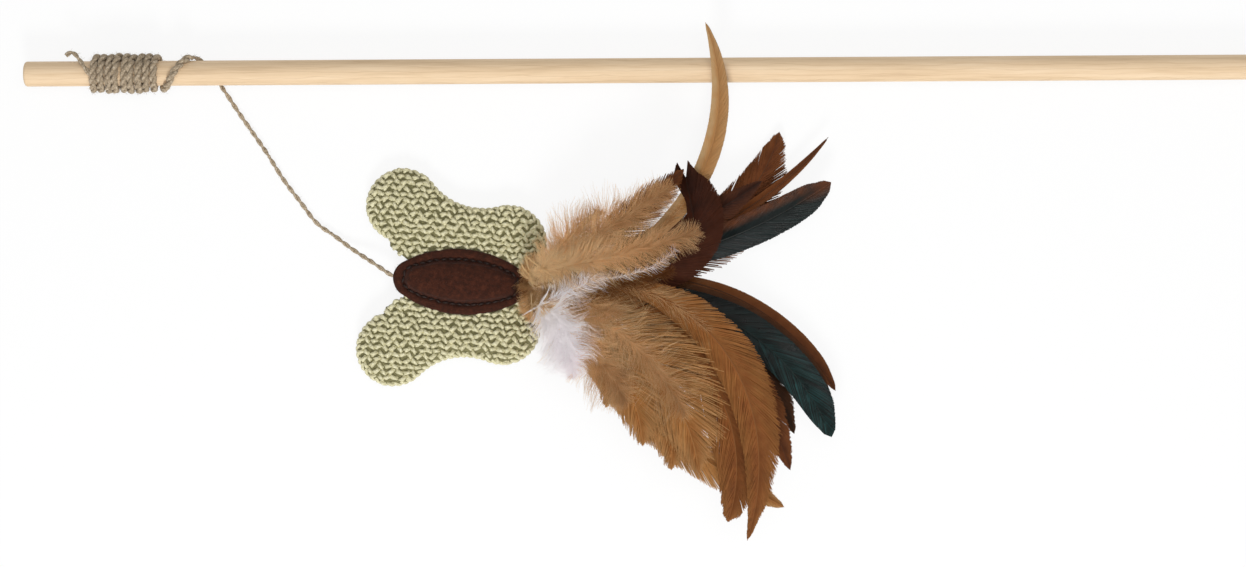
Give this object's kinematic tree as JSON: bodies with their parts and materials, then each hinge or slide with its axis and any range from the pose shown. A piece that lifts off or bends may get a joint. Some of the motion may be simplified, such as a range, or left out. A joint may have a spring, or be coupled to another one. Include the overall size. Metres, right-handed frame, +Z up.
{
  "type": "cat teaser wand",
  "caption": "Cat teaser wand: a wooden rod with twine wound near its tip and a limp cord to a padded knitted butterfly with a stitched felt body and a tail of curved feathers.",
  "frame": {"origin": "on the floor under the middle of the object, measured without its free cord", "axes": "+X along the rod from its tip to its grip end, +Z up from the floor, +Y from the toy to the rod"},
  "size_m": [0.5, 0.1596, 0.0316],
  "materials": {
    "pale_wood": "bare sanded wood, matt",
    "twine": "two-ply twine, fuzzy and matt",
    "sage_knit": "knitted yarn, matt",
    "brown_felt": "wool felt, matt",
    "seam_thread": "sewing thread, satin",
    "wadding": "polyester wadding, matt",
    "feather_brown": "feather, satin",
    "feather_tan": "feather, satin",
    "feather_green": "feather, iridescent",
    "down_tan": "down, matt",
    "down_pale": "down, matt"
  },
  "bodies": {
    "wand": {"wand_rod": "pale_wood", "twine_winding": "twine", "twine_tail": "twine"},
    "cord_root": {"cord_root": "twine"},
    "cord_upper": {"cord_upper": "twine"},
    "cord_lower": {"cord_lower": "twine"},
    "toy": {"cord_end": "twine", "stopper_knot": "twine", "body_felt_front": "brown_felt", "body_felt_back": "brown_felt", "body_wadding_front": "wadding", "body_wadding_back": "wadding", "seam_thread": "seam_thread", "wing_bridge": "sage_knit", "feather_brown_low_outer": "feather_brown", "feather_tan_high": "feather_tan", "feather_brown_low_streaked": "feather_brown", "feather_thin_high": "feather_brown", "feather_green_low": "feather_green", "feather_green_high": "feather_green", "feather_brown_low_inner": "feather_brown", "feather_brown_high": "feather_brown", "feather_brown_low_curved": "feather_brown", "feather_upright": "feather_tan", "feather_pale_low": "feather_tan", "feather_curled": "feather_brown", "feather_dark_low": "feather_brown", "feather_brown_high_side": "feather_brown", "feather_long_low": "feather_brown", "feather_tan_low_side": "feather_tan", "feather_tan_low_broad": "feather_tan", "feather_tan_low_short": "feather_tan", "feather_tan_small": "feather_tan", "plume_tan_high": "down_tan", "plume_tan_high_front": "down_tan", "plume_tan_low": "down_tan", "plume_white_low": "down_pale", "plume_pale_middle": "down_pale", "quill_binding_upper": "seam_thread", "quill_binding_lower": "seam_thread"},
    "upper_wing": {"upper_wing_front": "sage_knit", "upper_wing_back": "sage_knit", "upper_wing_wadding": "wadding"},
    "lower_wing": {"lower_wing_front": "sage_knit", "lower_wing_back": "sage_knit", "lower_wing_wadding": "wadding"}
  },
  "joints": [
    {"name": "cord_lift", "type": "hinge", "parent": "wand", "child": "cord_root", "pos_m": [-0.25, 0.06561, 0.00595], "axis": [-1, 0, 0], "range_deg": [0, 180]},
    {"name": "cord_swing", "type": "hinge", "parent": "cord_root", "child": "cord_upper", "pos_m": [-0.18777, 0.06161, 0.00077], "axis": [0, 0, 1], "range_deg": [-75, 0]},
    {"name": "cord_bend", "type": "hinge", "parent": "cord_upper", "child": "cord_lower", "pos_m": [-0.1575, 0.01711, 0.00077], "axis": [0, 0, 1], "range_deg": [-45, 0]},
    {"name": "toy_swivel", "type": "hinge", "parent": "cord_lower", "child": "toy", "pos_m": [-0.1361, 0.00261, 0.005], "axis": [0, 0, 1], "range_deg": [-60, 5]},
    {"name": "upper_wing_flap", "type": "hinge", "parent": "toy", "child": "upper_wing", "pos_m": [-0.13163, 0.01203, 0.005], "axis": [0.9971, -0.0767, 0], "range_deg": [0, 60]},
    {"name": "lower_wing_flap", "type": "hinge", "parent": "toy", "child": "lower_wing", "pos_m": [-0.13347, -0.012, 0.005], "axis": [-0.9971, 0.0767, 0], "range_deg": [0, 60]}
  ]
}
